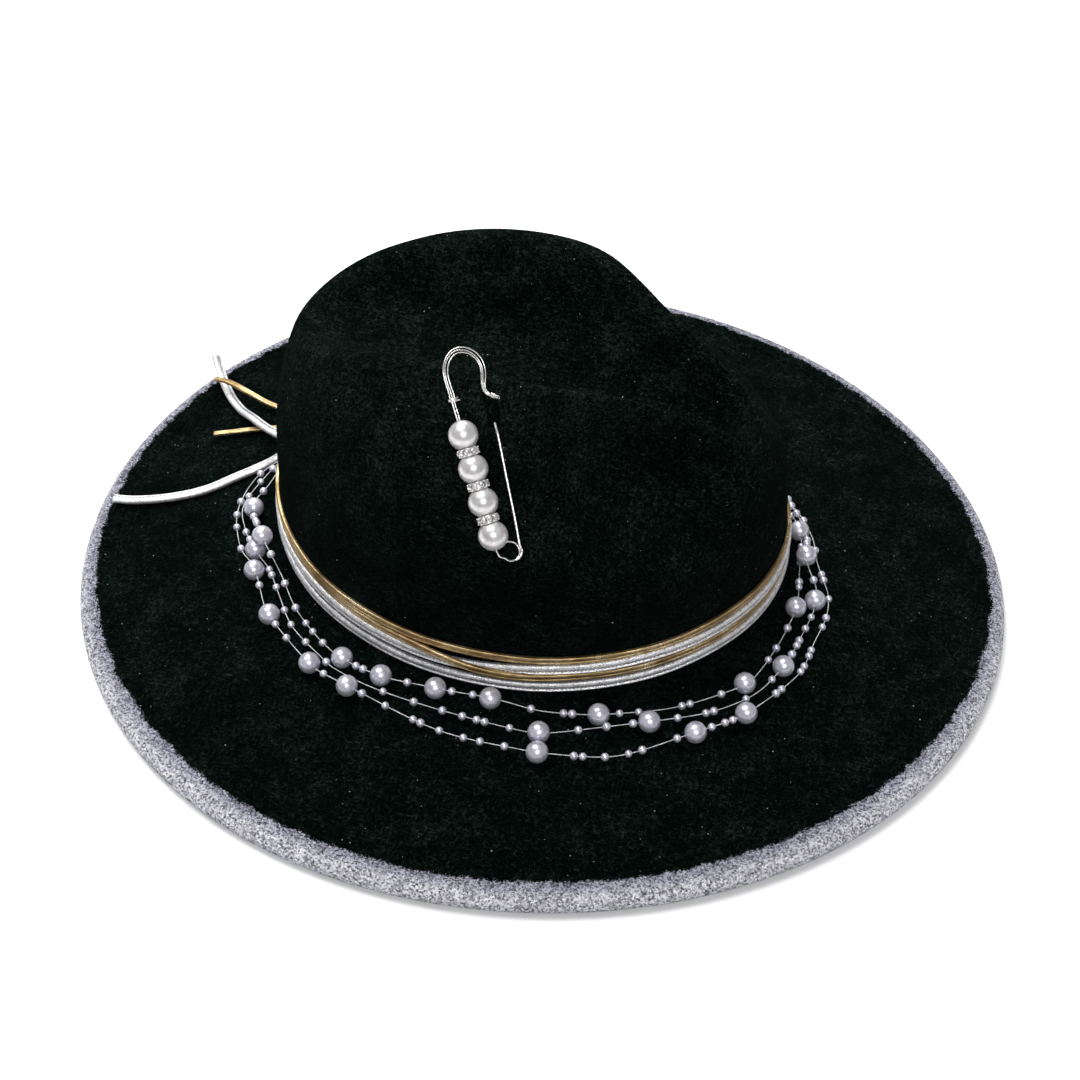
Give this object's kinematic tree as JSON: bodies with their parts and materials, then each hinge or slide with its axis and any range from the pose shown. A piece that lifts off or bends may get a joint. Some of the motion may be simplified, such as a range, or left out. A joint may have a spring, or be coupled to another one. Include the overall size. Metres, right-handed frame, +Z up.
{
  "type": "wide-brim felt hat",
  "caption": "Wide flat-brim felt hat with a pinched teardrop crown, wound metallic cord band, loose pearl garland and a beaded safety pin on the crown.",
  "frame": {"origin": "on the surface the hat rests on, under the middle of the brim", "axes": "+X to the hat's front, +Y to the wearer's left, +Z up"},
  "size_m": [0.3598, 0.3422, 0.1354],
  "materials": {
    "felt": "short-fibre black wool felt; the rolled brim edge is painted silver glitter",
    "ribbon": "black grosgrain ribbon",
    "hoop": "plain plastic hoop inside the hem",
    "gold_cord": "metallic gold folded strip",
    "silver_cord": "metallic silver folded and stitched strip",
    "line": "clear monofilament",
    "pearl": "imitation pearl, faint lilac sheen",
    "steel": "bright plated wire",
    "crystal": "clear rhinestones in a plated rim"
  },
  "bodies": {
    "hat": {"felt_body": "felt", "brim_hoop": "hoop", "sweatband": "ribbon", "gold_turn_upper": "gold_cord", "gold_turn_lower": "gold_cord", "silver_turn_upper": "silver_cord", "silver_turn_lower": "silver_cord", "gold_knot": "gold_cord", "silver_knot": "silver_cord", "gold_tail_long": "gold_cord", "gold_tail_short": "gold_cord", "silver_tail_back": "silver_cord", "silver_tail_side": "silver_cord", "strand_inner": "line", "strand_middle": "line", "strand_outer": "line", "pearl_01": "pearl", "pearl_02": "pearl", "pearl_03": "pearl", "pearl_04": "pearl", "pearl_05": "pearl", "pearl_06": "pearl", "pearl_07": "pearl", "pearl_08": "pearl", "pearl_09": "pearl", "pearl_10": "pearl", "pearl_11": "pearl", "pearl_12": "pearl", "pearl_13": "pearl", "pearl_14": "pearl", "pearl_15": "pearl", "pearl_16": "pearl", "pearl_17": "pearl", "pearl_18": "pearl", "pearl_19": "pearl", "pearl_20": "pearl", "pearl_21": "pearl", "pearl_22": "pearl", "pearl_23": "pearl", "pearl_24": "pearl", "pearl_25": "pearl", "pearl_26": "pearl", "pearl_27": "pearl", "pearl_28": "pearl", "pearl_29": "pearl", "pearl_30": "pearl", "pearl_31": "pearl", "pin_arm": "steel", "pin_head": "steel", "pin_collar": "steel"},
    "needle": {"pin_needle": "steel"},
    "bead_slider": {"bead_rondelle_2": "crystal"},
    "spin_pearl_1": {"bead_pearl_1": "pearl"},
    "spin_pearl_2": {"bead_pearl_2": "pearl"},
    "spin_pearl_3": {"bead_pearl_3": "pearl"},
    "spin_pearl_4": {"bead_pearl_4": "pearl"},
    "spin_rondelle_1": {"bead_rondelle_1": "crystal"},
    "spin_rondelle_3": {"bead_rondelle_3": "crystal"}
  },
  "joints": [
    {"name": "needle_swing", "type": "hinge", "parent": "hat", "child": "needle", "pos_m": [0.0204, -0.0793, 0.0835], "axis": [0.561, -0.4713, 0.6805], "range_deg": [0, 3], "stiffness_Nm_per_rad": 0.02, "springref_deg": -5.73},
    {"name": "beads_slide", "type": "slide", "parent": "hat", "child": "bead_slider", "axis": [-0.4894, 0.4638, 0.7385], "range_m": [0, 0.0055]},
    {"name": "pearl_1_spin", "type": "hinge", "parent": "bead_slider", "child": "spin_pearl_1", "pos_m": [0.01412, -0.07996, 0.08904], "axis": [-0.4894, 0.4638, 0.7385], "continuous": true},
    {"name": "pearl_2_spin", "type": "hinge", "parent": "bead_slider", "child": "spin_pearl_2", "pos_m": [0.00839, -0.07453, 0.09768], "axis": [-0.4894, 0.4638, 0.7385], "continuous": true},
    {"name": "pearl_3_spin", "type": "hinge", "parent": "bead_slider", "child": "spin_pearl_3", "pos_m": [0.00267, -0.0691, 0.10632], "axis": [-0.4894, 0.4638, 0.7385], "continuous": true},
    {"name": "pearl_4_spin", "type": "hinge", "parent": "bead_slider", "child": "spin_pearl_4", "pos_m": [-0.00306, -0.06368, 0.11496], "axis": [-0.4894, 0.4638, 0.7385], "continuous": true},
    {"name": "rondelle_1_spin", "type": "hinge", "parent": "bead_slider", "child": "spin_rondelle_1", "pos_m": [0.01125, -0.07724, 0.09336], "axis": [-0.4894, 0.4638, 0.7385], "continuous": true},
    {"name": "rondelle_3_spin", "type": "hinge", "parent": "bead_slider", "child": "spin_rondelle_3", "pos_m": [-0.0002, -0.06639, 0.11064], "axis": [-0.4894, 0.4638, 0.7385], "continuous": true}
  ]
}
